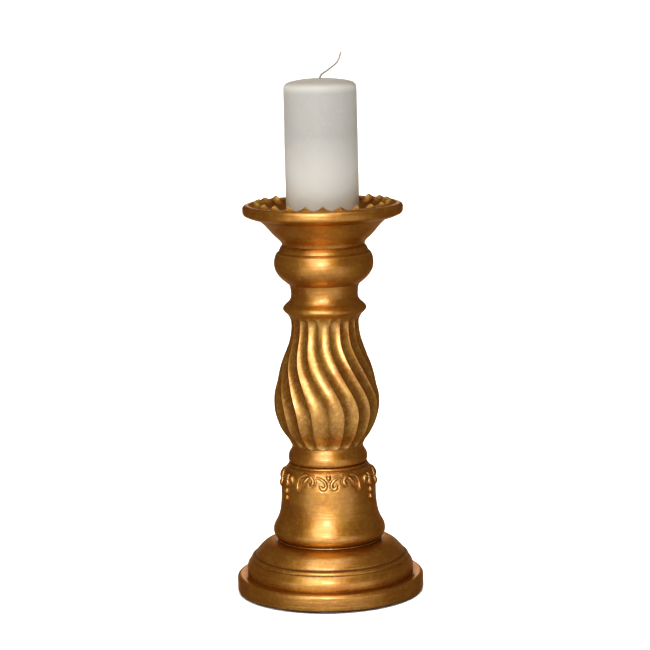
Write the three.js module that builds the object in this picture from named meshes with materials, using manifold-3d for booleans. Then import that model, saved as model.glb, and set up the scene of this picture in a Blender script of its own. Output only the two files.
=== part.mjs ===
// Altar candlestick: turned and carved sections stacked on a tie rod, with a pillar candle on a pricket.
// Millimetres, +Z up, origin at the centre of the felt's underside. The front faces -Y.
import * as THREE from "three";
import { mergeVertices } from "three/addons/utils/BufferGeometryUtils.js";
import Module from "manifold-3d";

const wasm = await Module();
wasm.setup();

// ---- Driving dimensions ----
const GAP = 0.3; // clearance between pieces that touch
const TURN_FACETS = 28; // facets round a turned piece
const SMALL_FACETS = 12; // facets round hardware

// Heights of the seams between the stacked sections.
const FELT_TOP = 1.7;
const PLINTH_BOTTOM = 2;
const PLINTH_TOP = 17.1;
const DOME_TOP = 51;
const BELL_TOP = 127.9;
const TORUS_TOP = 144.2;
const BALUSTER_TOP = 272;
const NECK_TOP = 301.6;
const KNOP_TOP = 339.2;
const TRUMPET_TOP = 363.4;
const FLOOR_TOP = 366; // floor of the drip pan

// The spigot on top of each section, which fits a socket in the section above it.
const SPIGOTS = {
  plinth: { r: 45, h: 8 },
  dome: { r: 30, h: 8 },
  bell: { r: 22, h: 8 },
  torus: { r: 20, h: 6 },
  baluster: { r: 18, h: 8 },
  neck: { r: 20, h: 8 },
  knop: { r: 22, h: 5 },
};
const TENON = { r: 26, h: 14 }; // under the drip pan, in the trumpet's mortise

const PLINTH_R = 90.5;
const PLINTH_CROWN = 17.8; // the plinth's upper edge is rounded up to here
const PLINTH_ROUND = 4; // radius of that rounding
const PLINTH_CHAMFER = 1.5;
const WALL_R = 80.3;
const FELT_R = 84;
const WAIST_R = 45.7; // the bell's narrow middle
const LIP_R = 77; // the drip pan's widest point

const ROD_R = 4; // M8 tie rod
const ROD_BOTTOM = 2.4;
const ROD_TOP = 362;
const BORE_R = ROD_R + 0.5;
const THREAD_R = ROD_R + GAP;
const NUT_RECESS = { r: 15, roof: 13.5 };
const NUT_FLATS = 13;
const NUT_HEIGHT = 6.3;
const SPRING_WASHER = { r: 7.4, h: 1.8 };
const BASE_WASHER = { r: 12, h: 1.6 };

const BOSS_RECESS = { r: 9, floor: 353.5 };
const BOSS_R = 7.6;
const PAN_WASHER = { r: 8.4, h: 1.5 };
const SPIKE_R = 3.6;
const SPIKE_TOP = 398;
const PLATE = { r: 30, h: 1 };

const FLUTES = 20;
const FLUTE_FACETS = 3; // facets across one flute
const FLUTE_DEPTH = 2.3;
const FLUTE_FOOT = 145.5;
const FLUTE_HEAD = 267;
const RUNOUT_FOOT = 7; // height over which a flute fades out at its foot
const RUNOUT_HEAD = 9;
const TWIST_FOOT = 175; // the flutes turn between these two heights
const TWIST_HEAD = 250;
const TWIST = THREE.MathUtils.degToRad(30.5);

const SCALLOPS = 24;
const SCALLOP_FACETS = 3;
const SCALLOP_DEPTH = 6;
const RIDGE_R = 62.7; // where the ridges between scallops are highest
const RIDGE_TOP = 382;
const SCALLOP_OUT = 9; // how far a scallop reaches outwards and inwards from there
const SCALLOP_IN = 19;
const SCALLOP_LOWEST = 374; // on the outside of the lip

const CANDLE_R = 35;
const CANDLE_BOTTOM = 367.6;
const CANDLE_EDGE = 488.5;
const CANDLE_APEX = 497.5;
const WICK_R = 1;

const ORNAMENT_SETS = 3;
const ORNAMENT_Z = 112; // the height that the ornament is drawn about
const RELIEF = 1.8; // how thick the ornament is
const LEAF_SEAT = 0.8; // keeps the leaves' flat facets clear of the round bell

// ---- Finishes ----
const GILT = { color: 0xb5782c, roughness: 0.42, metalness: 0.9 };
const STEEL = { color: 0x8d8f92, roughness: 0.35, metalness: 1 };
const BRASS = { color: 0xb08d4a, roughness: 0.35, metalness: 1 };
const WAX = { color: 0xe9e2d0, roughness: 0.45, metalness: 0 };
const COTTON = { color: 0xcfc9bd, roughness: 0.95, metalness: 0 };
const FELT = { color: 0x2f2621, roughness: 1, metalness: 0 };

// The candle and its wick lift off together; everything else is fixed to the stand.
const stand = new THREE.Group();
const liftOffCandle = new THREE.Group();
const candlestick = new THREE.Group();
candlestick.add(stand, liftOffCandle);

function addPiece(body, name, geometry, finish, turnedBy = 0) {
  const mesh = new THREE.Mesh(geometry, new THREE.MeshStandardMaterial(finish));
  mesh.name = name;
  mesh.rotation.z = turnedBy;
  body.add(mesh);
}

// ---- Profiles: lists of [radius, height], walked so that the outside goes up ----
function arc(centreR, centreZ, radius, fromDeg, toDeg, steps) {
  return Array.from({ length: steps + 1 }, (_, i) => {
    const a = THREE.MathUtils.degToRad(fromDeg + ((toDeg - fromDeg) * i) / steps);
    return [centreR + radius * Math.cos(a), centreZ + radius * Math.sin(a)];
  });
}

function smooth(points, steps) {
  const curve = new THREE.SplineCurve(points.map(([r, z]) => new THREE.Vector2(r, z)));
  return curve.getPoints(steps).map((p) => [p.x, p.y]);
}

function disc(r, bottom, height) {
  return [[0, bottom], [r, bottom], [r, bottom + height], [0, bottom + height]];
}

function ring(inner, outer, bottom, height) {
  return [[inner, bottom], [outer, bottom], [outer, bottom + height], [inner, bottom + height]];
}

// The whole profile of a stacked section: its outside, the spigot on its top, the bore for the tie rod,
// and the socket in its foot for the spigot of the section below.
function section(outside, spigot, spigotBelow) {
  const foot = outside[0][1];
  const top = outside[outside.length - 1][1];
  const socketR = spigotBelow.r + GAP;
  const roof = foot + spigotBelow.h + GAP;
  return [
    ...outside,
    [spigot.r, top],
    [spigot.r, top + spigot.h],
    [BORE_R, top + spigot.h],
    [BORE_R, roof],
    [socketR, roof],
    [socketR, foot],
  ];
}

// ---- Solids ----
function welded(geometry) {
  geometry.deleteAttribute("normal");
  geometry.deleteAttribute("uv");
  const merged = mergeVertices(geometry, 1e-3);
  merged.computeVertexNormals();
  return merged;
}

// Turns a profile about the Z axis. One that doesn't start on the axis is closed on itself.
// carve(r, z, angle) gives the carved place where a piece isn't plainly round. An angle is 0 at the
// front, on -Y, and grows towards +X.
function turn(profile, facets = TURN_FACETS, carve = null) {
  const loop = profile[0][0] === 0 ? profile : [...profile, profile[0]];
  const geometry = new THREE.LatheGeometry(loop.map(([r, z]) => new THREE.Vector2(r, z)), facets);
  geometry.rotateX(Math.PI / 2);
  if (!carve) return welded(geometry);
  const position = geometry.getAttribute("position");
  for (let i = 0; i < position.count; i++) {
    const x = position.getX(i);
    const y = position.getY(i);
    const [r, z, angle] = carve(Math.hypot(x, y), position.getZ(i), Math.atan2(x, -y));
    position.setXYZ(i, r * Math.sin(angle), -r * Math.cos(angle), z);
  }
  return welded(geometry);
}

function solid(geometry) {
  const g = welded(geometry);
  const triVerts = new Uint32Array(g.index.array);
  return new wasm.Manifold(
    new wasm.Mesh({ numProp: 3, vertProperties: g.getAttribute("position").array, triVerts }),
  );
}

function joined(geometries) {
  const mesh = geometries.map(solid).reduce((whole, piece) => whole.add(piece)).getMesh();
  const geometry = new THREE.BufferGeometry();
  geometry.setAttribute("position", new THREE.BufferAttribute(mesh.vertProperties, 3));
  geometry.setIndex(new THREE.BufferAttribute(mesh.triVerts, 1));
  geometry.computeVertexNormals();
  return geometry;
}

// How far into a channel an angle lies: 0 on the sharp edge between two channels, 1 in mid-channel.
function hollow(angle, channels) {
  const across = THREE.MathUtils.euclideanModulo((angle * channels) / (2 * Math.PI), 1);
  return 4 * across * (1 - across);
}

// ---- Base ----
function plinth() {
  const { r, h } = SPIGOTS.plinth;
  return turn([
    [PLINTH_R - PLINTH_CHAMFER, PLINTH_BOTTOM],
    [PLINTH_R, PLINTH_BOTTOM + PLINTH_CHAMFER],
    ...arc(PLINTH_R - PLINTH_ROUND, PLINTH_CROWN - PLINTH_ROUND, PLINTH_ROUND, 0, 90, 4),
    [WALL_R + 1, PLINTH_TOP],
    [r, PLINTH_TOP],
    [r, PLINTH_TOP + h],
    [BORE_R, PLINTH_TOP + h],
    [BORE_R, NUT_RECESS.roof],
    [NUT_RECESS.r, NUT_RECESS.roof],
    [NUT_RECESS.r, PLINTH_BOTTOM],
  ]);
}

function baseDome() {
  const wall = smooth([[WALL_R, PLINTH_TOP + GAP], [80.5, 24], [77.6, 32.6]], 4);
  const fillet = [[76.2, 34.4], [72.4, 36.8]];
  const dome = smooth([[71.9, 38.3], [67.7, 44.3], [61.5, 48.4], [50.3, DOME_TOP]], 5);
  return turn(section([...wall, ...fillet, ...dome], SPIGOTS.dome, SPIGOTS.plinth));
}

const BELL_RIM = smooth([[49.6, DOME_TOP + GAP], [51.6, 56.6], [54.2, 62.4], [51.9, 68.9]], 5);
const BELL_SKIRT = smooth([[51.9, 68.9], [48.1, 77.8], [46.3, 88], [WAIST_R, 98]], 3).slice(1);
const BELL_SHOULDER = smooth([[WAIST_R, 107], [44.4, 116], [42.6, 120.9], [38.2, 125.2]], 4);
const BELL_OUTSIDE = [...BELL_RIM, ...BELL_SKIRT, ...BELL_SHOULDER, [38.4, 126.6], [36, BELL_TOP]];

function bell() {
  return turn(section(BELL_OUTSIDE, SPIGOTS.bell, SPIGOTS.dome));
}

function torusRing() {
  const round = smooth([[36.8, BELL_TOP + GAP], [38.1, 133], [34.8, 141.2], [34, TORUS_TOP]], 6);
  return turn(section(round, SPIGOTS.torus, SPIGOTS.bell));
}

// ---- Stem ----
// The channels are cut along the turned facets, and the whole outside is then wrung round.
function carveFlutes(r, z, angle) {
  if (r < SPIGOTS.torus.r + 2) return [r, z, angle];
  const lag = TWIST * THREE.MathUtils.smoothstep(z, TWIST_FOOT, TWIST_HEAD);
  const fromEnd = Math.min((z - FLUTE_FOOT) / RUNOUT_FOOT, (FLUTE_HEAD - z) / RUNOUT_HEAD);
  const depth = FLUTE_DEPTH * THREE.MathUtils.clamp(fromEnd, 0, 1);
  return [r - depth * hollow(angle, FLUTES), z, angle - lag];
}

function flutedBaluster() {
  const swell = [
    [34.4, TORUS_TOP + GAP],
    [39.7, 153.4],
    [46.3, 164.7],
    [50.7, 183.7],
    [48.9, 202.8],
    [42.3, 226.3],
    [35.2, 246],
    [32.7, 260],
    [35.4, BALUSTER_TOP],
  ];
  const profile = section(smooth(swell, 14), SPIGOTS.baluster, SPIGOTS.torus);
  return turn(profile, FLUTES * FLUTE_FACETS, carveFlutes);
}

function neckCollar() {
  const flange = smooth([[35.6, BALUSTER_TOP + GAP], [40.2, 278.2], [37.4, 281.8], [33.1, 286.7]], 6);
  const collar = [[32.1, 291], [32.6, 297], [33.6, NECK_TOP]];
  return turn(section([...flange, ...collar], SPIGOTS.neck, SPIGOTS.baluster));
}

function knop() {
  const ball = smooth([[34.6, NECK_TOP + GAP], [42.7, 309.1], [47.6, 320.8], [46.4, 329.9]], 7);
  const bead = [[44.9, 331.1], [44.3, 332.9], [41.2, 335.7], [39.3, KNOP_TOP]];
  return turn(section([...ball, ...bead], SPIGOTS.knop, SPIGOTS.neck));
}

function trumpet() {
  const foot = KNOP_TOP + GAP;
  const socket = { r: SPIGOTS.knop.r + GAP, roof: foot + SPIGOTS.knop.h + GAP };
  return turn([
    ...smooth([[39.4, foot], [43.6, 345.7], [51.1, 353.3], [60.8, TRUMPET_TOP]], 7),
    [TENON.r + GAP, TRUMPET_TOP],
    [TENON.r + GAP, TRUMPET_TOP - TENON.h],
    [BORE_R, TRUMPET_TOP - TENON.h],
    [BORE_R, socket.roof],
    [socket.r, socket.roof],
    [socket.r, foot],
  ]);
}

// ---- Drip pan ----
// The scallops are hollows between ridges that run from the lip down into the bowl.
function carveScallops(r, z, angle) {
  const outside = r > RIDGE_R;
  if (z <= (outside ? SCALLOP_LOWEST : FLOOR_TOP)) return [r, z, angle];
  const offRidge = (r - RIDGE_R) / (outside ? SCALLOP_OUT : SCALLOP_IN);
  const depth = SCALLOP_DEPTH * Math.max(0, 1 - offRidge ** 2);
  return [r, z - depth * hollow(angle, SCALLOPS), angle];
}

function dripPan() {
  const foot = TRUMPET_TOP + GAP;
  const lip = smooth([[61.4, foot], [70.2, 366.8], [LIP_R, 373.4], [72.6, 379.6], [67.5, 381]], 7);
  const bowl = smooth([[RIDGE_R, RIDGE_TOP], [56.5, 376.6], [48.5, 369.8], [39, FLOOR_TOP]], 4);
  const profile = [
    [BORE_R, foot - TENON.h],
    [TENON.r, foot - TENON.h],
    [TENON.r, foot],
    ...lip,
    ...bowl,
    [BOSS_RECESS.r, FLOOR_TOP],
    [BOSS_RECESS.r, BOSS_RECESS.floor],
    [BORE_R, BOSS_RECESS.floor],
  ];
  return turn(profile, SCALLOPS * SCALLOP_FACETS, carveScallops);
}

function seatPlate() {
  return turn(ring(SPIKE_R + GAP, PLATE.r, FLOOR_TOP + GAP, PLATE.h));
}

function pricket() {
  const foot = BOSS_RECESS.floor + PAN_WASHER.h + 2 * GAP;
  return turn(
    [
      [0, ROD_TOP + GAP],
      [THREAD_R, ROD_TOP + GAP],
      [THREAD_R, foot],
      [BOSS_R, foot],
      [BOSS_R, FLOOR_TOP],
      [SPIKE_R, FLOOR_TOP],
      [SPIKE_R, CANDLE_BOTTOM],
      [0.5, SPIKE_TOP - 0.4],
      [0, SPIKE_TOP],
    ],
    SMALL_FACETS,
  );
}

// ---- Tie rod and its fastenings ----
function tieRod() {
  return turn(disc(ROD_R, ROD_BOTTOM, ROD_TOP - ROD_BOTTOM), SMALL_FACETS);
}

function washer(size, bottom) {
  return turn(ring(THREAD_R, size.r, bottom, size.h), SMALL_FACETS);
}

function raised(shape, bottom, height) {
  const geometry = new THREE.ExtrudeGeometry(shape, { depth: height, bevelEnabled: false, curveSegments: 8 });
  geometry.translate(0, 0, bottom);
  return welded(geometry);
}

function springWasher(bottom) {
  const halfGap = 0.12; // half the split's angle in radians
  const shape = new THREE.Shape();
  shape.absarc(0, 0, SPRING_WASHER.r, halfGap, 2 * Math.PI - halfGap, false);
  shape.absarc(0, 0, THREAD_R, 2 * Math.PI - halfGap, halfGap, true);
  return raised(shape, bottom, SPRING_WASHER.h);
}

function hexNut(bottom) {
  const cornerR = NUT_FLATS / Math.sqrt(3);
  const corners = Array.from({ length: 6 }, (_, i) => {
    const a = (i * Math.PI) / 3;
    return new THREE.Vector2(cornerR * Math.cos(a), cornerR * Math.sin(a));
  });
  const shape = new THREE.Shape(corners);
  shape.holes.push(new THREE.Path().absarc(0, 0, THREAD_R, 0, 2 * Math.PI, true));
  return raised(shape, bottom, NUT_HEIGHT);
}

// ---- Candle ----
function candle() {
  const socketR = SPIKE_R + 0.6;
  const socketRoof = SPIKE_TOP + 1.5;
  const wickHole = WICK_R + GAP;
  return turn([
    [socketR, CANDLE_BOTTOM],
    [CANDLE_R - 0.6, CANDLE_BOTTOM],
    [CANDLE_R, CANDLE_BOTTOM + 0.6],
    ...smooth([[CANDLE_R, CANDLE_EDGE], [33.9, 491.6], [30, 494.2], [17, 496.5], [4, CANDLE_APEX]], 7),
    [wickHole + 1, CANDLE_APEX - 1.5],
    [wickHole, CANDLE_APEX - 3],
    [wickHole, socketRoof],
    [socketR, socketRoof],
  ]);
}

function wick() {
  const route = new THREE.CatmullRomCurve3(
    [
      [0, SPIKE_TOP + 4],
      [0, 440],
      [0, 480],
      [0, 496.5],
      [0.9, 499.6],
      [4.4, 502.4],
      [10.4, 506.6],
      [16.2, 511.4],
      [20.5, 521.6],
    ].map(([x, z]) => new THREE.Vector3(x, 0, z)),
  );
  const strand = new THREE.Shape().absarc(0, 0, WICK_R, 0, 2 * Math.PI, false);
  const options = { steps: 26, curveSegments: 3, bevelEnabled: false, extrudePath: route };
  return welded(new THREE.ExtrudeGeometry(strand, options));
}

// ---- Ornament on the bell ----
function bellRadiusAt(z) {
  const above = BELL_OUTSIDE.findIndex(([, height]) => height > z);
  const [r0, z0] = BELL_OUTSIDE[above - 1];
  const [r1, z1] = BELL_OUTSIDE[above];
  return THREE.MathUtils.mapLinear(z, z0, z1, r0, r1);
}

// A leaf is a ball drawn out along a route and laid on the bell. The route's points are [across, up]
// from the ornament's centre line at ORNAMENT_Z. fat > 1 puts the widest part near the route's start.
function leaf({ route, width, fat = 1 }, side = 1) {
  const path = new THREE.SplineCurve(route.map(([u, w]) => new THREE.Vector2(u * side, w)));
  const ball = new THREE.SphereGeometry(1, 5, 5);
  const position = ball.getAttribute("position");
  for (let i = 0; i < position.count; i++) {
    const along = ((1 + position.getY(i)) / 2) ** fat;
    const point = path.getPoint(along);
    const heading = path.getTangent(along);
    const aside = position.getX(i) * width;
    const u = point.x + heading.y * aside;
    const z = ORNAMENT_Z + point.y - heading.x * aside;
    const r = bellRadiusAt(z) + LEAF_SEAT + RELIEF * Math.max(0, position.getZ(i));
    const angle = u / WAIST_R;
    position.setXYZ(i, r * Math.sin(angle), -r * Math.cos(angle), z);
  }
  return ball;
}

const CREST = [
  { route: [[-1.4, -3.2], [4, -3.4], [7.2, 2.8], [10.6, 8.8]], width: 3.4, fat: 1.3 },
  { route: [[0, -5.4], [0, 0], [0, 6], [0, 11.5]], width: 3.6, fat: 0.7 },
];
const SPRAY = [
  { route: [[18.8, 0.4], [14.6, 2], [14.4, 6.8], [20, 9.2]], width: 2.2 },
  { route: [[16.8, 9.2], [21.4, 8.4], [25.4, 4.6], [25.2, 0.4]], width: 2.2 },
  { route: [[33, -4.6], [33, 1.6], [29.4, 8], [20.4, 9.6]], width: 2.5, fat: 1.3 },
];
const DROP = [
  { route: [[0, -3.4], [0, 0], [0, 4], [0, 9.6]], width: 3.4, fat: 1.2 },
  { route: [[0, -11.2], [0, -9], [0, -6], [0, -2]], width: 2.2, fat: 1.3 },
  { route: [[0, -17.6], [0, -15], [0, -12], [0, -8.6]], width: 1.9, fat: 1.3 },
];
const DROP_SIDE = { route: [[7.2, 0.4], [6.4, 4.6], [3.6, 6.8], [0.4, 6.4]], width: 2, fat: 1.3 };

function crest() {
  const [comma, wedge] = CREST;
  return joined([leaf(wedge), leaf(comma), leaf(comma, -1)]);
}

function spray(side) {
  return joined(SPRAY.map((stroke) => leaf(stroke, side)));
}

function drop() {
  return joined([...DROP.map((stroke) => leaf(stroke)), leaf(DROP_SIDE), leaf(DROP_SIDE, -1)]);
}

// ---- Assembly ----
addPiece(stand, "felt_pad", turn(disc(FELT_R, 0, FELT_TOP)), FELT);
addPiece(stand, "plinth", plinth(), GILT);
addPiece(stand, "base_dome", baseDome(), GILT);
addPiece(stand, "bell", bell(), GILT);
addPiece(stand, "torus_ring", torusRing(), GILT);
addPiece(stand, "fluted_baluster", flutedBaluster(), GILT);
addPiece(stand, "neck_collar", neckCollar(), GILT);
addPiece(stand, "knop", knop(), GILT);
addPiece(stand, "pan_trumpet", trumpet(), GILT);
addPiece(stand, "drip_pan", dripPan(), GILT);

for (let set = 1; set <= ORNAMENT_SETS; set++) {
  const centre = ((set - 1) * 2 * Math.PI) / ORNAMENT_SETS;
  const between = centre + Math.PI / ORNAMENT_SETS;
  addPiece(stand, `scroll_crest_${set}`, crest(), GILT, centre);
  addPiece(stand, `leaf_spray_left_${set}`, spray(-1), GILT, centre);
  addPiece(stand, `leaf_spray_right_${set}`, spray(1), GILT, centre);
  addPiece(stand, `bead_drop_${set}`, drop(), GILT, between);
}

const washerBottom = NUT_RECESS.roof - GAP - BASE_WASHER.h;
const springBottom = washerBottom - GAP - SPRING_WASHER.h;
addPiece(stand, "tie_rod", tieRod(), STEEL);
addPiece(stand, "base_washer", washer(BASE_WASHER, washerBottom), STEEL);
addPiece(stand, "spring_washer", springWasher(springBottom), STEEL);
addPiece(stand, "base_nut", hexNut(springBottom - GAP - NUT_HEIGHT), STEEL);
addPiece(stand, "pan_washer", washer(PAN_WASHER, BOSS_RECESS.floor + GAP), STEEL);
addPiece(stand, "pricket", pricket(), STEEL);
addPiece(stand, "seat_plate", seatPlate(), BRASS);

addPiece(liftOffCandle, "candle", candle(), WAX);
addPiece(liftOffCandle, "wick", wick(), COTTON);

export default candlestick;
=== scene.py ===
"""An altar candlestick: turned, carved and gilded wood, with a pillar candle on its pricket.

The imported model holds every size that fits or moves. The pieces made here stand for its faceted solids
and give them their real surface. Lengths are in millimetres until a mesh is made.
"""

import math

import bpy
import numpy as np
from mathutils import Euler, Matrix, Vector


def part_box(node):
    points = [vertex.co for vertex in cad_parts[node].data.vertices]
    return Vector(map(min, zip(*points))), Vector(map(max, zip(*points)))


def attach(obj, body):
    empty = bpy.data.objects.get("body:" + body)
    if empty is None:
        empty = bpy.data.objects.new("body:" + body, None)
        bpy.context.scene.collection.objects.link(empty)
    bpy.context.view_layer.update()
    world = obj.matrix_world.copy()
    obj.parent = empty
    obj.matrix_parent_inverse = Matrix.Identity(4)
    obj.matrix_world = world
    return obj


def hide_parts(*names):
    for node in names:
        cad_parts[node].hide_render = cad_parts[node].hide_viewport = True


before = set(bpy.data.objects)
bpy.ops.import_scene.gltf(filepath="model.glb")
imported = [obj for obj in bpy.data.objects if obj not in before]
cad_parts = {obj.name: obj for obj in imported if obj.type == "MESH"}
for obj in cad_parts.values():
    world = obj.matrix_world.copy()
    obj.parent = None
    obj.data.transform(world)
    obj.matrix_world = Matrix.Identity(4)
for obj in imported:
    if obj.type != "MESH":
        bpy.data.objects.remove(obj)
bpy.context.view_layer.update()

MM = 0.001
SEAM = 0.05  # between stacked sections
CLEARANCE = 0.3  # round a spigot in its socket

# How finely the pieces are meshed
AROUND = 288  # vertices round a turned piece
AROUND_BELL = 600  # enough for its engraved lines
STEP = 0.7  # between the points of a smooth outline
VOXEL = 0.28  # for melting the ornament's strokes together
SHARP_EDGE = math.radians(38)

# Inside the stack. A spigot is (radius, height), and stands on the section that it is named after.
BORE_R = 4.5
SPIGOTS = {
    "plinth": (45, 8),
    "dome": (30, 8),
    "bell": (22, 8),
    "torus": (20, 6),
    "baluster": (18, 8),
    "neck": (20, 8),
    "knop": (22, 5),
}
TENON = (26, 14)  # under the drip pan

FLUTES = 20
FLUTE_COLUMNS = 22  # vertices across one flute
FLUTE_DEPTH = 0.34  # as a share of half the flute's width
FLUTE_FOOT = 145.2
FLUTE_HEAD = 272.6
FOOT_RUNOUT = 7  # the length of a flute's rounded end
HEAD_RUNOUT = 9
TWIST = math.radians(30.5)
TWIST_FOOT = 175  # the flutes turn between these two heights
TWIST_HEAD = 250
FLUTE_START = math.radians(1.2)  # where the first edge between flutes stands at the foot

SCALLOPS = 24
SCALLOP_COLUMNS = 18
SCALLOP_DEPTH = 4.3
SCALLOP_CURVE = 1.5  # 1 is a hollow like a V, and 2 a round one
SCALLOP_OUT = 8.8  # how far a hollow reaches outwards and inwards from the ridges' crest
SCALLOP_IN = 9.5
RIDGE_R = 62.7
RIDGE_TOP = 382
SCALLOP_LOWEST = 374  # on the outside of the lip
BOWL_FLOOR = 366

ORNAMENT_SETS = 3
ORNAMENT_Z = 112  # the height that the ornament is drawn about
ORNAMENT_REACH = 22  # no stroke goes further above or below it
WAIST_R = 45.7  # of the bell, behind the ornament
RELIEF = 2.6  # how far a broad stroke stands out
ENGRAVING = 0.32  # depth of the line round the ornament
ENGRAVING_GAP = 0.5  # from a stroke's edge to the middle of the line
ENGRAVING_WIDTH = 0.65


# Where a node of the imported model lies, in mm
def foot(node):
    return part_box(node)[0].z / MM


def top(node):
    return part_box(node)[1].z / MM


def widest(node):
    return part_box(node)[1].x / MM


# ---- Outlines: lists of (radius, height), walked so that the outside goes up ----
def spline(points, step=STEP):
    """Points along the natural cubic spline through the given ones."""
    knots = np.array(points, float)
    at = np.concatenate([[0], np.cumsum(np.linalg.norm(np.diff(knots, axis=0), axis=1))])
    gap = np.diff(at)
    count = len(knots)
    rows = np.eye(count)
    right = np.zeros_like(knots)
    for i in range(1, count - 1):
        rows[i, i - 1 : i + 2] = gap[i - 1], 2 * (gap[i - 1] + gap[i]), gap[i]
        slope = (knots[i + 1] - knots[i]) / gap[i] - (knots[i] - knots[i - 1]) / gap[i - 1]
        right[i] = 6 * slope
    bend = np.linalg.solve(rows, right)
    along = np.linspace(0, at[-1], max(2, math.ceil(at[-1] / step)) + 1)
    i = np.clip(np.searchsorted(at, along, side="right") - 1, 0, count - 2)
    past = (along - at[i])[:, None]
    left = (at[i + 1] - along)[:, None]
    span = gap[i][:, None]
    curve = (bend[i] * left**3 + bend[i + 1] * past**3) / (6 * span)
    curve += (knots[i] / span - bend[i] * span / 6) * left
    curve += (knots[i + 1] / span - bend[i + 1] * span / 6) * past
    return [tuple(point) for point in curve]


def arc(centre, radius, start, end, step=0.4):
    """Points along an arc; angles are in degrees, 0 outwards and 90 up."""
    count = max(3, math.ceil(radius * math.radians(abs(end - start)) / step))
    angles = np.radians(np.linspace(start, end, count + 1))
    return [(centre[0] + radius * math.cos(a), centre[1] + radius * math.sin(a)) for a in angles]


def line(start, end, step=3 * STEP):
    """Points along a straight stretch, without its two ends."""
    count = max(1, round(math.dist(start, end) / step))
    return [tuple(np.array(start) + (np.array(end) - start) * i / count) for i in range(1, count)]


def plinth_outline():
    r, bottom = widest("plinth"), foot("plinth")
    crown, edge_r, foot_r = 17.8, 3.4, 1.6
    return [
        *arc((r - foot_r, bottom + foot_r), foot_r, -90, 0),
        *line((r, bottom + foot_r), (r, crown - edge_r)),
        *arc((r - edge_r, crown - edge_r), edge_r, 0, 90),
        *spline([(r - 4, crown), (84.4, 17.6), (82, 17.3), (80.4, foot("base_dome") - SEAM)]),
    ]


def base_dome_outline():
    wall = spline([(80.2, foot("base_dome")), (80.7, 21.5), (80.5, 26), (79.2, 29.4), (77.2, 32)])
    fillet = arc((74.2, 33.7), 2.3, -28, 75)
    dome = spline([(72.3, 36.8), (72.1, 38.2), (70.3, 40.9), (66.4, 45.1), (60.5, 48.9), (52, 51.1)])
    return [*wall, *fillet, *dome, (50.2, foot("bell") - SEAM)]


def bell_outline():
    seat = arc((49.5, 52.1), 0.9, -70, 80)
    rim = [(49.1, 53.2), (50.9, 54.4), (53.4, 57.4), (54.2, 61.5), (53.4, 66), (50.8, 71)]
    waist = [(48.1, 77.8), (46.6, 86), (45.9, 96), (45.7, 106), (44.7, 114), (43.1, 120), (40.6, 123.3)]
    bead = arc((37, 126.2), 1.4, -50, 75)
    return [*seat, *spline([*rim, *waist], 0.55), (38.2, 124.9), *bead, (36.2, foot("torus_ring") - SEAM)]


def torus_outline():
    bottom, above = foot("torus_ring"), foot("fluted_baluster") - SEAM
    swell = [(37.6, 129.6), (38.1, 132.8), (37.8, 136), (36.3, 139.1), (34.8, 141.7)]
    return spline([(36.3, bottom), *swell, (34.2, above)])


def baluster_outline():
    bottom, above = foot("fluted_baluster"), foot("neck_collar") - SEAM
    swell = [(36.7, 149.2), (42.5, 157.3), (47.3, 167.6), (50.1, 178), (50.8, 187), (50.1, 197)]
    shoulder = [(47.3, 208.5), (43.7, 222.4), (39.5, 234.1), (35.8, 244)]
    throat = [(33.4, 254), (32.7, 262), (33.4, 268)]
    return spline([(34.3, bottom), *swell, *shoulder, *throat, (35.5, above)])


def neck_outline():
    bottom, above = foot("neck_collar"), foot("knop") - SEAM
    flange = [(38.6, 275.3), (40.1, 278), (38.9, 280.6), (35.4, 283.8), (33, 287)]
    collar = [(32.1, 291), (32.4, 296), (33.1, 299.6)]
    return spline([(35.6, bottom), *flange, *collar, (33.9, above)], 0.5)


def knop_outline():
    bottom, above = foot("knop"), foot("pan_trumpet") - SEAM
    ball = [(40.2, 306.6), (44.6, 311.7), (46.9, 316.4), (47.6, 321), (47.1, 326.4), (45.7, 330.6)]
    shoulder = [(45, 331.7), (44.1, 332.4), (43.2, 332.9)]
    bead = spline([(42.8, 333.4), (42.4, 334.6), (41.4, 336.8), (40.1, 338.7), (39.3, above)], 0.5)
    return [*spline([(34.5, bottom), *ball]), *shoulder, *bead]


def trumpet_outline():
    bottom, above = foot("pan_trumpet"), foot("drip_pan") + TENON[1] - SEAM
    flare = [(40.3, 342), (43.6, 345.7), (49.4, 351.5), (54.4, 357.4)]
    return spline([(39.3, bottom), *flare, (61, above)])


# ---- Meshes ----
def new_mesh(name, verts, faces):
    mesh = bpy.data.meshes.new(name)
    mesh.from_pydata(verts, [], faces)
    mesh.update()
    return mesh


def add_object(name, data):
    """Puts a mesh, a lamp or the camera in the scene."""
    made = bpy.data.objects.new(name, data)
    bpy.context.scene.collection.objects.link(made)
    return made


def read(collection, attribute, width, kind=float):
    """An attribute of every vertex or edge, as one row each."""
    values = np.empty(len(collection) * width, kind)
    collection.foreach_get(attribute, values)
    return values.reshape(-1, width)


def new_piece(name, mesh, body="stand"):
    made = add_object(name, mesh)
    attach(made, body)
    return made


def grid_faces(rows, columns, wrap_rows):
    """Quads of a grid whose last column meets its first, as the last row may too."""
    last = rows if wrap_rows else rows - 1
    faces = []
    for i in range(last):
        a, b = i * columns, ((i + 1) % rows) * columns
        faces += [(a + j, a + (j + 1) % columns, b + (j + 1) % columns, b + j) for j in range(columns)]
    return faces


def even_turns(count):
    return np.arange(count) * 2 * math.pi / count


def channel_turns(channels, columns):
    """Angles round a carved piece, closest together at the edges between its channels."""
    within = (1 - np.cos(np.arange(columns) * math.pi / columns)) / 2
    return ((np.arange(channels)[:, None] + within) * 2 * math.pi / channels).ravel()


def smoothstep(value, low, high):
    """0 up to low, 1 from high, and a smooth rise between them."""
    t = np.clip((value - low) / (high - low), 0, 1)
    return t * t * (3 - 2 * t)


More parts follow.
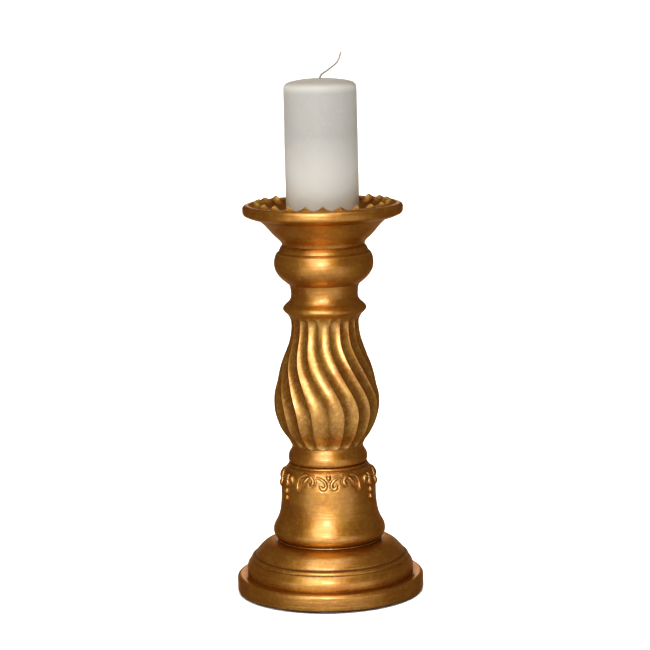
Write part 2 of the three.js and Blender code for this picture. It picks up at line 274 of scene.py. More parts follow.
def turned(name, outline, hidden=(), carve=None, turns=even_turns(AROUND), body="stand", relief=False):
    """Turns an outline, closed by its hidden stretch, about the stem's axis.

    carve(r, z, angle) gives the carved place of the outline's points. An angle is 0 at the front, on -Y,
    and grows towards +X. An outline that starts on the axis ends on it, and has a pole at either end.
    """
    outline = list(outline)
    solid = outline[0][0] == 0
    ends = (outline[0][1], outline[-1][1])
    if solid:
        outline = outline[1:-1]
    loop = np.array([*outline, *hidden], float)
    around = len(turns)
    r, turn = np.meshgrid(loop[:, 0], turns, indexing="ij")
    z = np.repeat(loop[:, 1:], around, axis=1)
    if carve:
        seen = slice(0, len(outline))
        r[seen], z[seen], turn[seen] = carve(r[seen], z[seen], turn[seen])
    verts = np.stack([r * np.sin(turn), -r * np.cos(turn), z], axis=-1).reshape(-1, 3) * MM
    faces = grid_faces(len(loop), around, wrap_rows=not solid)
    if solid:
        verts = np.vstack([verts, [[0, 0, ends[0] * MM], [0, 0, ends[1] * MM]]])
        low, high, start = len(verts) - 2, len(verts) - 1, (len(loop) - 1) * around
        faces += [(low, (j + 1) % around, j) for j in range(around)]
        faces += [(high, start + j, start + (j + 1) % around) for j in range(around)]
    made = new_piece(name, new_mesh(name, verts.tolist(), faces), body)
    made.data.shade_smooth()
    made.data.set_sharp_from_angle(angle=SHARP_EDGE)
    if relief:
        note_relief(made, seams=(outline[0], outline[-1]), seen=len(outline) * around)
    return made


def note_relief(made, seams=(), seen=None):
    """Stores how far each vertex stands out of its surroundings: above 0 on an edge, below 0 in a hollow.

    The material reads it, in mm, to rub the edges and to darken the hollows with dark glazing and painted
    shade. Where only the first vertices are seen, the others get 0. It fades to 0 at the seams, the (radius,
    height) where sections meet.
    """
    smoothings, fade_from, fade_to = 5, 0.5, 1.8
    mesh = made.data
    count = len(mesh.vertices)
    seen = seen or count
    place = read(mesh.vertices, "co", 3) / MM
    normal = read(mesh.vertices, "normal", 3)
    pairs = read(mesh.edges, "vertices", 2, int)
    pairs = pairs[(pairs < seen).all(axis=1)]
    ends, others = np.concatenate([pairs, pairs[:, ::-1]]).T
    degree = np.maximum(np.bincount(ends, minlength=count), 1)[:, None]
    calm = place
    for _ in range(smoothings):
        calm = np.stack([np.bincount(ends, calm[others, k], count) for k in range(3)], axis=1) / degree
    height = ((place - calm) * normal).sum(axis=1)
    height[seen:] = 0
    radius = np.hypot(place[:, 0], place[:, 1])
    for seam_r, seam_z in seams:
        height *= smoothstep(np.hypot(radius - seam_r, place[:, 2] - seam_z), fade_from, fade_to)
    mesh.attributes.new("relief", "FLOAT", "POINT").data.foreach_set("value", height.astype(np.float32))


# ---- Carving ----
def across(angle, count):
    """Where an angle lies in its channel, from -1 to 1, and 0 in mid-channel."""
    return 2 * np.mod(angle * count / (2 * math.pi), 1) - 1


def carve_flutes(r, z, angle):
    """Cuts channels of a round section and with round ends, and wrings them round the swelling."""
    lag = TWIST * smoothstep(z, TWIST_FOOT, TWIST_HEAD)
    from_foot = np.clip(1 - (z - FLUTE_FOOT) / FOOT_RUNOUT, 0, 1)
    from_head = np.clip(1 - (FLUTE_HEAD - z) / HEAD_RUNOUT, 0, 1)
    inside = np.clip(1 - across(angle, FLUTES) ** 2 - from_foot**2 - from_head**2, 0, 1)
    gouge_r = (1 + FLUTE_DEPTH**2) / (2 * FLUTE_DEPTH)
    hollow = np.sqrt(gouge_r**2 - 1 + inside) - (gouge_r - FLUTE_DEPTH)
    return r - hollow * math.pi * r / FLUTES, z, angle - lag + FLUTE_START


def carve_scallops(r, z, angle):
    """Scoops hollows on either side of the ridges' crest, and leaves the ridges between them as teeth."""
    outside = r > RIDGE_R
    off_crest = (r - RIDGE_R) / np.where(outside, SCALLOP_OUT, SCALLOP_IN)
    underside = z < np.where(outside, SCALLOP_LOWEST, BOWL_FLOOR)
    fade = np.where(underside, 0, np.clip(1 - off_crest**2, 0, 1))
    hollow = 1 - np.abs(across(angle, SCALLOPS)) ** SCALLOP_CURVE
    return r, z - SCALLOP_DEPTH * fade * hollow, angle


def engrave_bell(r, z, angle):
    """Cuts a fine line into the bell all round the ornament that lies on it."""
    traces = [trace(*stroke) for stroke in ornament_strokes()]
    stroke_u, stroke_w, half_width = np.concatenate(traces).T
    set_width = 2 * math.pi / ORNAMENT_SETS
    u = (np.mod(angle + set_width / 2, set_width) - set_width / 2) * WAIST_R
    w = z - ORNAMENT_Z
    carved = r.copy()
    for row in np.flatnonzero(np.abs(w[:, 0]) < ORNAMENT_REACH):
        gaps = np.hypot(u[row, :, None] - stroke_u, w[row, 0] - stroke_w) - half_width
        off_line = (gaps.min(axis=1) - ENGRAVING_GAP) / ENGRAVING_WIDTH
        carved[row] -= ENGRAVING * np.exp(-(off_line**2))
    return carved, z, angle


# ---- Stacked sections: a spigot on top, a bore for the rod, and a socket in the foot ----
def spigot(size, at):
    r, height = size
    return [(r, at), (r, at + height), (BORE_R, at + height)]


def socket(size, at):
    r, height = size[0] + CLEARANCE, size[1] + CLEARANCE
    return [(BORE_R, at + height), (r, at + height), (r, at)]


def section(name, outline, above, below, **options):
    """A stacked section, between the spigot it carries and the one that it stands on."""
    hidden = [*spigot(SPIGOTS[above], outline[-1][1]), *socket(SPIGOTS[below], outline[0][1])]
    return turned(name, outline, hidden, relief=True, **options)


def make_plinth():
    outline = plinth_outline()
    recess_r, recess_roof = 15, 13.5
    recess = [(BORE_R, recess_roof), (recess_r, recess_roof), (recess_r, foot("plinth"))]
    hidden = [*spigot(SPIGOTS["plinth"], outline[-1][1]), *recess]
    return turned("gilded_plinth", outline, hidden, relief=True)


def make_base_dome():
    return section("gilded_base_dome", base_dome_outline(), "dome", "plinth")


def make_bell():
    turns = even_turns(AROUND_BELL)
    return section("gilded_bell", bell_outline(), "bell", "dome", carve=engrave_bell, turns=turns)


def make_torus():
    return section("gilded_torus", torus_outline(), "torus", "bell")


def make_baluster():
    turns = channel_turns(FLUTES, FLUTE_COLUMNS)
    outline = baluster_outline()
    return section("gilded_baluster", outline, "baluster", "torus", carve=carve_flutes, turns=turns)


def make_neck():
    return section("gilded_neck", neck_outline(), "neck", "baluster")


def make_knop():
    return section("gilded_knop", knop_outline(), "knop", "neck")


def make_trumpet():
    outline = trumpet_outline()
    rim = outline[-1][1]
    mortise_r, mortise_floor = TENON[0] + CLEARANCE, rim - TENON[1] - CLEARANCE
    mortise = [(mortise_r, rim), (mortise_r, mortise_floor), (BORE_R, mortise_floor)]
    hidden = [*mortise, *socket(SPIGOTS["knop"], outline[0][1])]
    return turned("gilded_trumpet", outline, hidden, relief=True)


def make_pan():
    tenon_r, tenon_foot = TENON[0], foot("drip_pan")
    underside = tenon_foot + TENON[1]
    flare = [(61, underside), (66.8, 365.3), (72.4, 367.3), (76.1, 369.8), (widest("drip_pan"), 373)]
    roll = [(76.3, 376.2), (74.2, 378), (71.6, 378.5), (68.4, 379.5), (65.4, 381.3)]
    bowl = [(59.6, 379.9), (56.3, 376.4), (51.4, 372.2), (46.5, 368.6), (41.5, 366.6), (36, BOWL_FLOOR)]
    outline = [*spline([*flare, *roll], 0.6), *spline([(RIDGE_R, RIDGE_TOP), *bowl], 0.6)]
    boss_r, boss_floor = 9, 353.5
    boss_recess = [(boss_r, BOWL_FLOOR), (boss_r, boss_floor), (BORE_R, boss_floor)]
    tenon = [(BORE_R, tenon_foot), (tenon_r, tenon_foot), (tenon_r, underside)]
    turns = channel_turns(SCALLOPS, SCALLOP_COLUMNS)
    return turned("gilded_drip_pan", outline, [*boss_recess, *tenon], carve_scallops, turns, relief=True)


# ---- Ornament: strokes modelled flat, melted together, and laid on the bell ----
# Each stroke is a list of (across, up, half its width) from the ornament's centre line at ORNAMENT_Z.
CURL = [(7.6, 0.8, 1.5), (7, -1.2, 2), (4.8, -2.2, 2), (2.9, -0.6, 1.8), (2.7, 2.4, 1.6), (5, 5.6, 1.6)]
COMMA = [*CURL, (8.6, 7.4, 1.3), (12.2, 8.7, 0.5)]
WEDGE = [(0, 4.6, 0.5), (0, 6.6, 1.5), (0, 8.4, 2.6), (0, 9.8, 2.2)]
HOOK = [(18, 1.6, 1.5), (16.2, 2.2, 2.1), (15.2, 4.6, 1.8), (16.9, 7.4, 1.6)]
SCROLL = [*HOOK, (20.4, 9.2, 1.4), (24.4, 9.8, 0.6)]
FROND = [(20, 8.6, 1.1), (22.2, 6.6, 1.8), (24.2, 4.2, 2.1), (25.6, 1.8, 1.5), (26.2, 0.2, 0.6)]
HANGER = [(22, 9.8, 1), (26.4, 9.9, 1.5), (29.8, 8.2, 1.6), (31.6, 5, 1.5), (32.1, 2, 1.3)]
TEAR = [(32.1, 3, 1.2), (32.2, 0.4, 2), (32, -2.8, 2.4), (31.7, -5.2, 1.5), (31.6, -6.4, 0.5)]
KNOT = [(0, 8.6, 1.6), (0, 6, 2.8), (0, 3.8, 2.6), (0, 2.4, 1.6)]
BODY = [(0, 3.4, 1.6), (0, 1, 3), (0, -1.4, 2.6), (0, -3.4, 1.2)]
BEAD_UPPER = [(0, -4.8, 1), (0, -6.6, 2.2), (0, -9, 2.3), (0, -10.8, 1)]
BEAD_LOWER = [(0, -12, 0.9), (0, -13.6, 1.9), (0, -15.8, 2), (0, -17.4, 0.8)]
PETAL = [(1.8, 6, 0.9), (4.4, 6.2, 2), (7, 4.8, 2.1), (8.4, 2, 1.3), (8.8, 0.4, 0.5)]

# A piece is a list of strokes with their sides: 1 as given, and -1 mirrored.
CREST = [(COMMA, 1), (COMMA, -1), (WEDGE, 1)]
SPRAY_RIGHT = [(stroke, 1) for stroke in (SCROLL, FROND, HANGER, TEAR)]
SPRAY_LEFT = [(stroke, -1) for stroke, _ in SPRAY_RIGHT]
DROP = [(KNOT, 1), (BODY, 1), (BEAD_UPPER, 1), (BEAD_LOWER, 1), (PETAL, 1), (PETAL, -1)]


def trace(stroke, side, aside=0):
    """Points along a stroke, mirrored where side is -1 and then moved aside."""
    thinnest = 0.3
    points = np.array(spline(stroke, 0.35))
    points[:, 0] = points[:, 0] * side + aside
    points[:, 2] = np.maximum(points[:, 2], thinnest)
    return points


def ornament_strokes():
    """Every stroke of one set, as (stroke, side, aside); a pendant hangs at either end."""
    pendant = WAIST_R * math.pi / ORNAMENT_SETS
    for piece in (CREST, SPRAY_RIGHT, SPRAY_LEFT):
        yield from ((*stroke, 0) for stroke in piece)
    for aside in (pendant, -pendant):
        yield from ((*stroke, aside) for stroke in DROP)


def stroke_solid(stroke, side):
    """A closed tube along a stroke, higher where the stroke is broader, and flatter on the side below."""
    sides, broad, lowest, highest, sunk = 14, 2.2, 0.45, 1.1, 0.45
    places = trace(stroke, side)
    heading = np.gradient(places[:, :2], axis=0)
    heading /= np.linalg.norm(heading, axis=1)[:, None]
    turn = even_turns(sides)
    tall = RELIEF * np.clip(places[:, 2:] / broad, lowest, highest)
    width = places[:, 2:] * np.cos(turn)
    u = places[:, :1] + heading[:, 1:] * width
    w = places[:, 1:2] - heading[:, :1] * width
    h = tall * np.where(np.sin(turn) > 0, np.sin(turn), sunk * np.sin(turn))
    rows = len(places)
    faces = grid_faces(rows, sides, wrap_rows=False)
    faces += [tuple(range(sides))[::-1], tuple(range((rows - 1) * sides, rows * sides))]
    return np.stack([u, w, h], axis=-1).reshape(-1, 3), [face[::-1] for face in faces]


def relief_shape(name, strokes):
    """Melts a piece's strokes into one closed flat relief, and returns its mesh."""
    verts, faces = np.zeros((0, 3)), []
    for stroke, side in strokes:
        more, more_faces = stroke_solid(stroke, side)
        faces += [tuple(v + len(verts) for v in face) for face in more_faces]
        verts = np.vstack([verts, more])
    melted = add_object(name, new_mesh(name, verts.tolist(), faces))
    remesh = melted.modifiers.new("melt", "REMESH")
    remesh.mode = "VOXEL"
    remesh.voxel_size = VOXEL
    calm = melted.modifiers.new("calm", "SMOOTH")
    calm.iterations = 3
    evaluated = melted.evaluated_get(bpy.context.evaluated_depsgraph_get())
    flat = bpy.data.meshes.new_from_object(evaluated)
    bpy.data.objects.remove(melted)
    return flat


def lay_on_bell(name, flat, turned_by, bell):
    """Wraps a flat relief round the bell, centred on an angle. bell is its heights and their radii."""
    heights, radii = bell
    u, w, h = read(flat.vertices, "co", 3).T
    z = ORNAMENT_Z + w
    r = np.interp(z, heights, radii) + h
    angle = turned_by + u / WAIST_R
    place = np.stack([r * np.sin(angle), -r * np.cos(angle), z], axis=1) * MM
    mesh = flat.copy()
    mesh.name = name
    mesh.vertices.foreach_set("co", place.ravel())
    mesh.update()
    made = new_piece(name, mesh)
    mesh.shade_smooth()
    note_relief(made)
    return made


def make_ornament():
    """The applied ornament: the same crest, sprays and pendant three times round the bell."""
    flats = {
        "scroll_crest": relief_shape("crest", CREST),
        "leaf_spray_right": relief_shape("spray_right", SPRAY_RIGHT),
        "leaf_spray_left": relief_shape("spray_left", SPRAY_LEFT),
        "bead_drop": relief_shape("drop", DROP),
    }
    outline = np.array(bell_outline())
    behind = outline[outline[:, 1] > ORNAMENT_Z - ORNAMENT_REACH]
    bell = (behind[:, 1], behind[:, 0])
    pieces = []
    for number in range(1, ORNAMENT_SETS + 1):
        centre = (number - 1) * 2 * math.pi / ORNAMENT_SETS
        for kind, flat in flats.items():
            turned_by = centre + (math.pi / ORNAMENT_SETS if kind == "bead_drop" else 0)
            made = lay_on_bell(f"gilded_{kind}_{number}", flat, turned_by, bell)
            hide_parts(f"{kind}_{number}")
            pieces.append(made)
    return pieces


# ---- Candle and hardware ----
def make_candle():
    r, bottom = widest("candle"), foot("candle")
    shoulder, foot_r = 487.6, 1.2
    heel = arc((r - foot_r, bottom + foot_r), foot_r, -80, 0)
    side = line((r, bottom + foot_r), (r, shoulder), 2)
    edge = [(r, shoulder), (34.6, 490.2), (33, 492.3), (29.6, 494), (24, 495.3), (14, 496.6), (5, 497.2)]
    dimple = spline([(4, 497.2), (2.6, 496.9), (1.6, 495.9), (1.3, 494.5)], 0.4)
    outline = [(r - foot_r, bottom), *heel, *side, *spline(edge, 0.5), *dimple]
    spike_hole_r, spike_hole_top = 4.2, 399.5
    hole = [(dimple[-1][0], spike_hole_top), (spike_hole_r, spike_hole_top), (spike_hole_r, bottom)]
    return turned("wax_candle", outline, hole, dent_candle, even_turns(2 * AROUND // 3), "lift_off_candle")


def dent_candle(r, z, angle):
    """The slight waves of a poured candle. They fade towards the wick, and none of them makes it thicker."""
    slow, bulge, ripple = 0.12, 0.08, 0.05
    wave = slow * np.sin(2 * angle + z / 37) + bulge * np.sin(3 * angle - z / 23 + 1)
    wave += ripple * np.sin(z / 9 + 2 * np.sin(angle))
    fade = np.clip((r - 4) / 20, 0, 1)
    return r - (slow + bulge + ripple - wave) * fade, z, angle


WICK_IN_WAX = [(0, 402), (0, 440), (0, 480), (0, 496.5)]
WICK_ABOVE = [(0.9, 499.6), (4.4, 502.4), (10.4, 506.6), (16.2, 511.4), (20.5, 521.2)]


def make_wick():
    """Three cords wound round one another along the wick's route, which lies in the plane of X and Z."""
    strands, strand_r, wind_r, pitch = 3, 0.5, 0.45, 4.2
    step, sides = 0.3, 10
    route = np.array(spline([*WICK_IN_WAX, *WICK_ABOVE], step))
    rows = len(route)
    heading = np.gradient(route, axis=0)
    heading /= np.linalg.norm(heading, axis=1)[:, None]
    aside = np.stack([heading[:, 1], np.zeros(rows), -heading[:, 0]], axis=1)
    centre = np.stack([route[:, 0], np.zeros(rows), route[:, 1]], axis=1)
    depth = np.array([0, 1, 0])
    turn = even_turns(sides)
    rim = aside[:, None] * np.cos(turn)[None, :, None] + depth * np.sin(turn)[None, :, None]
    along = np.arange(rows) * step
    verts, faces = [], []
    for strand in range(strands):
        phase = 2 * math.pi * (along / pitch + strand / strands)
        path = centre + wind_r * (aside * np.cos(phase)[:, None] + depth * np.sin(phase)[:, None])
        start = len(verts)
        end = start + (rows - 1) * sides
        verts += ((path[:, None] + strand_r * rim).reshape(-1, 3) * MM).tolist()
        faces += [tuple(start + v for v in face) for face in grid_faces(rows, sides, wrap_rows=False)]
        faces.append(tuple(range(start, start + sides))[::-1])
        faces.append(tuple(range(end, end + sides)))
    made = new_piece("plaited_wick", new_mesh("plaited_wick", verts, faces), "lift_off_candle")
    made.data.shade_smooth()
    return made


def make_pricket():
    bottom, tip = foot("pricket"), top("pricket")
    boss_r, bevel = 7.6, 0.4
    boss_foot = [(boss_r - bevel, bottom), (boss_r, bottom + bevel)]
    boss_head = [(boss_r, BOWL_FLOOR - bevel), (boss_r - bevel, BOWL_FLOOR)]
    spike = spline([(3.6, 367.6), (2.6, 380), (1.2, 392), (0.45, tip - 0.5)], 1)
    outline = [(0, bottom), *boss_foot, *boss_head, (spike[0][0], BOWL_FLOOR), *spike, (0, tip)]
    return turned("steel_pricket", outline, turns=even_turns(AROUND // 6))


def make_seat_plate():
    bottom, above, r = foot("seat_plate"), top("seat_plate"), widest("seat_plate")
    hole_r, edge_r = 3.9, 0.5
    edge = arc((r - edge_r, bottom + edge_r), edge_r, -90, 90, 0.2)
    groove = spline([(26, above), (25, above - 0.25), (24, above)], 0.3)
    outline = [(hole_r, bottom), *edge, *groove, (hole_r, above)]
    return turned("brass_seat_plate", outline, turns=even_turns(AROUND // 2))


def make_felt():
    r, above = widest("felt_pad"), top("felt_pad")
    edge_r = 0.6
    edge = arc((r - edge_r, above - edge_r), edge_r, 0, 90, 0.2)
    outline = [(0, 0), (r - 0.4, 0), (r, 0.5), *edge, (0, above)]
    return turned("felt_disc", outline, turns=even_turns(AROUND // 2))


# ---- Materials ----
class Shader:
    """A material's node tree, with short calls for the nodes used here."""

    def __init__(self, name):
        self.material = bpy.data.materials.new(name)
        self.material.use_nodes = True
        self.tree = self.material.node_tree
        self.surface = self.tree.nodes["Principled BSDF"]
        in_metres = self.node("TexCoord").outputs["Object"]
        scaled = self.node("VectorMath", {0: in_metres, "Scale": 1 / MM}, operation="SCALE")
        self.place = scaled.outputs["Vector"]

    def node(self, kind, inputs=None, **settings):
        made = self.tree.nodes.new("ShaderNode" + kind)
        for key, value in settings.items():
            setattr(made, key, value)
        for key, value in (inputs or {}).items():
            self.put(made.inputs[key], value)
        return made

    def put(self, socket, value):
        if isinstance(value, bpy.types.NodeSocket):
            self.tree.links.new(value, socket)
        else:
            socket.default_value = value

    def set(self, **sockets):
        """Sets the surface's sockets; an underscore stands for a space."""
        for name, value in sockets.items():
            self.put(self.surface.inputs[name.replace("_", " ")], value)

    def stretched(self, scale):
        return self.node("VectorMath", {0: self.place, 1: scale}, operation="MULTIPLY").outputs["Vector"]

    def noise(self, scale, detail=3, roughness=0.55, where=None):
        """Noise from 0 to 1, with features about 1 / scale mm across."""
        inputs = {"Vector": where or self.place, "Scale": scale, "Detail": detail, "Roughness": roughness}
        return self.node("TexNoise", inputs).outputs["Fac"]

    def levels(self, value, low, high, to_low=0, to_high=1):
        inputs = {"Value": value, "From Min": low, "From Max": high, "To Min": to_low, "To Max": to_high}
        return self.node("MapRange", inputs).outputs["Result"]

    def calculate(self, operation, first, second):
        return self.node("Math", {0: first, 1: second}, operation=operation).outputs["Value"]

    def sum(self, first, second):
        return self.calculate("ADD", first, second)

    def product(self, first, second):
        return self.calculate("MULTIPLY", first, second)

    def larger(self, first, second):
        return self.calculate("MAXIMUM", first, second)

    def mix(self, share, first, second):
        """The first colour, with a share of the second.

        The node has sockets for every kind of data: its colours are inputs 6 and 7 and output 2.
        """
        made = self.node("Mix", data_type="RGBA")
        self.put(made.inputs[0], share)
        self.put(made.inputs[6], (*first, 1) if isinstance(first, tuple) else first)
        self.put(made.inputs[7], (*second, 1) if isinstance(second, tuple) else second)
        return made.outputs[2]

    def bump(self, height, depth, strength=1, under=None):
        """A bump of a height from 0 to 1, depth in mm deep."""
        inputs = {"Height": height, "Distance": depth * MM, "Strength": strength}
        if under:
            inputs["Normal"] = under
        return self.node("Bump", inputs).outputs["Normal"]


# The red-brown ground under the gold; the same colour also serves as painted shade in corners and hollows.
BOLE_AND_SHADE = (0.10, 0.028, 0.007)  # the red-brown ground under the gold
RUBBED = (0.92, 0.74, 0.46)

# "edge", "specks" and "flecks" are the levels between which each sets in, and the most that it covers.
TURNED_GOLD = {
    "body": (0.62, 0.335, 0.05),
    "pale": (0.80, 0.56, 0.18),
    "deep": (0.52, 0.23, 0.025),
    "mottling": 0.4,
    "streaking": 0.6,
    "brush_depth": 0.6,
    "edge": (0.14, 0.3),
    "specks": (0.73, 0.8, 0, 0.6),
    "flecks": None,
}
CARVED_GOLD = {
    "body": (0.60, 0.36, 0.07),
    "pale": (0.78, 0.57, 0.22),
    "deep": (0.50, 0.22, 0.025),
    "mottling": 0.6,
    "streaking": 0.2,
    "brush_depth": 0.12,
    "edge": (0.05, 0.14),
    "specks": (0.66, 0.74, 0, 0.75),
    "flecks": (0.56, 0.68, 0, 0.5),
}


def gilt(name, gold):
    """Gold brushed over red-brown bole: paler where rubbed, brown in the hollows from dark glazing and
    painted shade, with specks of wear.
    """
    s = Shader(name)
    relief = s.node("Attribute", attribute_name="relief").outputs["Fac"]
    cloud = s.noise(0.045)
    mottle = s.noise(0.28, 4, 0.6)
    grain = s.noise(1.6, 3, 0.7)
    streaks = s.noise(1, 4, 0.6, s.stretched((0.04, 0.04, 0.6)))
    scuffs = s.noise(0.75, 5, 0.75)

    # The gold itself, uneven, and rubbed pale on the edges
    color = s.mix(s.levels(cloud, 0.35, 0.68), gold["body"], gold["deep"])
    color = s.mix(s.levels(mottle, 0.48, 0.72, 0, gold["mottling"]), color, gold["pale"])
    color = s.mix(s.levels(streaks, 0.5, 0.7, 0, gold["streaking"]), color, gold["deep"])
    rubbed = s.sum(relief, s.product(s.levels(grain, 0.3, 0.7, -1, 1), 0.02))
    color = s.mix(s.product(s.levels(rubbed, *gold["edge"]), 0.8), color, gold["pale"])
    if gold["flecks"]:
        color = s.mix(s.levels(s.noise(0.4, 4, 0.7), *gold["flecks"]), color, RUBBED)

    # Painted shade, with some dark glazing, in corners, hollows and where parts meet, in the red-brown
    # ground's colour; the ground itself shows in specks and in crumbs along the corners
    recess = s.node("AmbientOcclusion", {"Distance": 5 * MM}, samples=6).outputs["AO"]
    # Painted shade from the occlusion term, taken together with dark glazing in the carved hollows
    glaze_and_painted_shade = s.larger(s.levels(recess, 0.2, 0.7, 0.85, 0), s.levels(relief, -0.3, -0.11, 0.7, 0))
    specks = s.levels(scuffs, *gold["specks"])
    crumbs = s.product(s.levels(scuffs, 0.54, 0.6, 0, 0.9), s.levels(recess, 0.85, 1, 1, 0))
    wear_and_painted_shade = s.larger(s.larger(glaze_and_painted_shade, specks), crumbs)
    color = s.mix(wear_and_painted_shade, color, BOLE_AND_SHADE)

    # Satin metal under a clear lacquer, duller where wear shows and where shade is painted
    rough = s.levels(s.sum(mottle, s.product(streaks, 0.5)), 0.5, 1.0, 0.34, 0.46)
    rough = s.sum(rough, s.product(wear_and_painted_shade, 0.2))
    s.set(Base_Color=color, Metallic=s.levels(wear_and_painted_shade, 0, 1, 0.94, 0.45), Roughness=rough)
    s.set(Coat_Weight=0.4, Coat_Roughness=0.27, Coat_IOR=2.8, Specular_Tint=(0.7, 0.42, 0.16, 1))
    dents = s.bump(s.noise(0.12, 2), 0.5, 0.5)
    brushed = s.bump(streaks, gold["brush_depth"], 0.8, dents)
    s.set(Normal=s.bump(grain, 0.06, 0.8, brushed))
    return s.material


def wax():
    """Translucent wax, with painted light: paler in the foot, as if lit by the bright pan, and along the
    upper edge, as if light glowed through it.
    """
    s = Shader("candle_wax")
    cloud = s.noise(0.03)
    bloom = s.noise(0.35, 4, 0.65)
    color = s.mix(cloud, (0.33, 0.33, 0.317), (0.357, 0.357, 0.345))
    color = s.mix(s.levels(bloom, 0.45, 0.7, 0, 0.4), color, (0.384, 0.384, 0.372))
    height = s.node("SeparateXYZ", {0: s.place}).outputs["Z"]
    # Painted light: the foot made paler as if lit from the gilt pan, and the upper edge paler as if light
    # shone through the wax
    painted_pan_light = s.levels(height, 374, 445, 0.85, 0)
    painted_rim_light = s.levels(height, 484, 496, 0, 0.75)
    color = s.mix(s.larger(painted_pan_light, painted_rim_light), color, (0.64, 0.64, 0.615))
    s.set(Base_Color=color, Roughness=s.levels(bloom, 0.3, 0.7, 0.45, 0.6))
    s.set(Subsurface_Weight=0.8, Subsurface_Radius=(1.0, 0.8, 0.5), Subsurface_Scale=9 * MM)
    s.set(Specular_IOR_Level=0.3)
    s.set(Normal=s.bump(s.noise(0.9, 4), 0.06, 0.6, s.bump(s.noise(0.06, 2), 0.5, 0.5)))
    return s.material


def cotton():
    s = Shader("wick_cotton")
    fibre = s.noise(5, 4, 0.7)
    color = s.mix(fibre, (0.20, 0.19, 0.17), (0.46, 0.44, 0.40))
    s.set(Base_Color=color, Roughness=s.levels(fibre, 0.3, 0.7, 0.75, 0.95))
    s.set(Normal=s.bump(fibre, 0.15, 0.8))
    return s.material


def felt():
    s = Shader("base_felt")
    tuft = s.noise(1.8, 5, 0.75)
    color = s.mix(tuft, (0.012, 0.008, 0.006), (0.045, 0.032, 0.024))
    s.set(Base_Color=color, Roughness=s.levels(tuft, 0.3, 0.7, 0.9, 1), Sheen_Weight=0.4)
    s.set(Normal=s.bump(tuft, 0.4, 0.9))
    return s.material


def bare_metal(name, dull, bright, rough):
    """Turned metal: fine rings, and stains."""
    s = Shader(name)
    stain = s.noise(0.25, 4, 0.6)
    rings = s.noise(1, 3, 0.6, s.stretched((0.3, 0.3, 6)))
    s.set(Base_Color=s.mix(s.levels(stain, 0.35, 0.65), dull, bright), Metallic=1.0)
    s.set(Roughness=s.levels(s.sum(stain, rings), 0.7, 1.3, rough, rough + 0.16))
    s.set(Normal=s.bump(rings, 0.05, 0.6))
    return s.material


def dress(piece, material):
    piece.data.materials.clear()
    piece.data.materials.append(material)


# ---- The candlestick ----
def make_candlestick():
    turned_gold = gilt("gilt_turned", TURNED_GOLD)
    carved_gold = gilt("gilt_carved", CARVED_GOLD)
    steel = bare_metal("zinc_steel", (0.33, 0.33, 0.34), (0.58, 0.58, 0.59), 0.32)
    brass = bare_metal("spun_brass", (0.50, 0.33, 0.11), (0.76, 0.54, 0.23), 0.3)
    stands_for = {
        "plinth": (make_plinth(), turned_gold, "gilt_wood"),
        "base_dome": (make_base_dome(), turned_gold, "gilt_wood"),
        "bell": (make_bell(), turned_gold, "gilt_wood"),
        "torus_ring": (make_torus(), turned_gold, "gilt_wood"),
        "fluted_baluster": (make_baluster(), carved_gold, "gilt_wood"),
        "neck_collar": (make_neck(), turned_gold, "gilt_wood"),
        "knop": (make_knop(), turned_gold, "gilt_wood"),
        "pan_trumpet": (make_trumpet(), turned_gold, "gilt_wood"),
        "drip_pan": (make_pan(), turned_gold, "gilt_wood"),
        "felt_pad": (make_felt(), felt(), "base_felt"),
        "pricket": (make_pricket(), steel, "steel"),
        "seat_plate": (make_seat_plate(), brass, "brass_plate"),
        "candle": (make_candle(), wax(), "candle_wax"),
        "wick": (make_wick(), cotton(), "wick_cotton"),
    }
    for node, (piece, material, slot) in stands_for.items():
        dress(piece, material)
        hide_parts(node)
    for piece in make_ornament():
        dress(piece, carved_gold)
    for node in ("tie_rod", "base_washer", "spring_washer", "base_nut", "pan_washer"):
        dress(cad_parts[node], steel)


# ---- Studio, in metres ----
def area_light(name, place, aim, size, watts):
    lamp = bpy.data.lights.new(name, "AREA")
    lamp.shape = "RECTANGLE"
    lamp.size, lamp.size_y = size
    lamp.energy = watts
    made = add_object(name, lamp)
    made.location = place
    made.rotation_euler = (Vector(aim) - Vector(place)).to_track_quat("-Z", "Y").to_euler()
    made.visible_camera = False


def stage_mesh(name, verts, faces):
    """A plain white surface that the gilding doesn't mirror, with its shader."""
    made = add_object(name, new_mesh(name, verts, faces))
    s = Shader(name)
    s.set(Base_Color=(0.86, 0.86, 0.86, 1), Roughness=0.9, Specular_IOR_Level=0.1)
    made.data.materials.append(s.material)
    made.visible_glossy = False
    return made, s


def make_backdrop():
    """A glowing white wall far behind the floor; only the camera sees it, so it lights nothing."""
    reach, height, sides = 20, 20, 48
    turn = even_turns(sides)
    ring = np.stack([reach * np.cos(turn), reach * np.sin(turn)], axis=1)
    verts = [(x, y, z) for z in (0, height) for x, y in ring]
    wall, s = stage_mesh("studio_backdrop", verts, grid_faces(2, sides, wrap_rows=False))
    s.set(Emission_Color=(1, 1, 1, 1), Emission_Strength=1.2)
    wall.visible_diffuse = False
    wall.visible_shadow = False


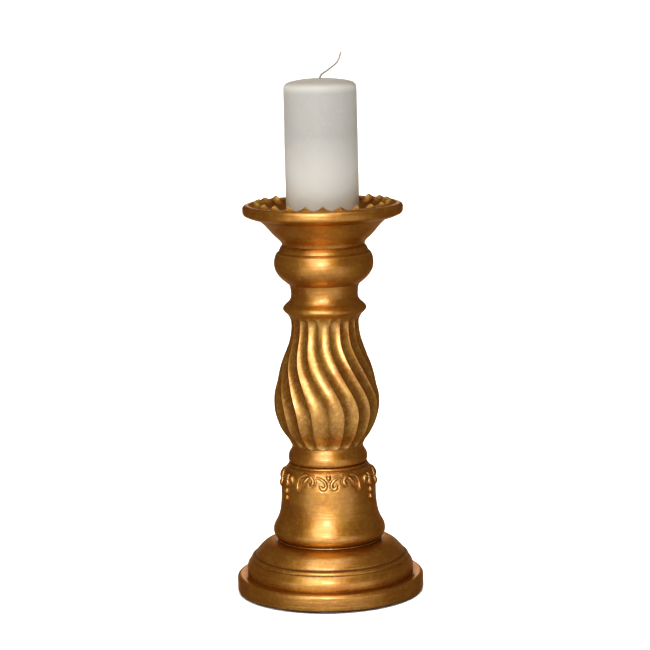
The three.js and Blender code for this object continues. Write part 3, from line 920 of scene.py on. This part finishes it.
def make_floor():
    """A plain white floor, washed evenly by a lamp of its own, as a background light does."""
    reach = 40
    corners = [(-reach, -reach, 0), (reach, -reach, 0), (reach, reach, 0), (-reach, reach, 0)]
    floor, _ = stage_mesh("studio_floor", corners, [(0, 1, 2, 3)])

    lamp = bpy.data.lights.new("floor_wash", "SUN")
    lamp.energy = 3.6
    lamp.angle = math.radians(60)
    wash = add_object("floor_wash", lamp)
    only_floor = bpy.data.collections.new("floor_only")
    only_floor.objects.link(floor)
    wash.light_linking.receiver_collection = only_floor


def make_room():
    """The warm walls and ceiling that the gilding mirrors on its sides."""
    world = bpy.data.worlds.new("studio")
    world.use_nodes = True
    walls = world.node_tree.nodes["Background"]
    walls.inputs["Color"].default_value = (1, 0.76, 0.5, 1)
    walls.inputs["Strength"].default_value = 0.17
    bpy.context.scene.world = world


def make_lights():
    """A flash and broad soft panels in front, and weaker ones above, behind and where the floor reflects."""
    middle = (0, 0, 0.26)
    area_light("flash", (-0.2, -2.0, 0.8), middle, (0.35, 0.3), 3.7)
    area_light("front_low", (-0.26, -1.35, 0.30), middle, (1.1, 0.5), 1.8)
    area_light("front_middle", (-0.26, -1.25, 0.80), middle, (1.1, 0.5), 3.3)
    area_light("front_high", (-0.3, -0.95, 1.25), middle, (1.1, 0.6), 4)
    area_light("ceiling", (-0.05, -0.35, 1.6), middle, (1.2, 0.8), 3.4)
    area_light("floor_bounce", (0, -0.8, 0.012), (0, -0.1, 0.35), (2.4, 0.6), 1.9)
    area_light("floor_near", (0, -0.25, 0.012), (0, -0.24, 0.35), (0.8, 0.3), 0.2)
    area_light("back", (0, 1.7, 0.6), middle, (0.5, 0.8), 1.2)
    area_light("back_bounce", (0, 0.8, 0.012), (0, 0.1, 0.35), (1.0, 0.6), 0.4)


def make_camera():
    """A long lens, a little above the pan and looking down, held slightly askew."""
    lens = bpy.data.cameras.new("camera")
    lens.sensor_width = 36
    lens.lens = 129.5
    camera = add_object("camera", lens)
    camera.location = (-0.0001, -2.216, 0.621)
    looking_down, askew = math.radians(9.23), math.radians(-1.25)
    level = Euler((math.pi / 2 - looking_down, 0, 0)).to_matrix()
    camera.rotation_euler = (level @ Euler((0, 0, askew)).to_matrix()).to_euler()
    bpy.context.scene.camera = camera


make_candlestick()
make_floor()
make_backdrop()
make_room()
make_lights()
make_camera()
bpy.context.scene.view_settings.view_transform = "Standard"
bpy.context.scene.view_settings.look = "High Contrast"
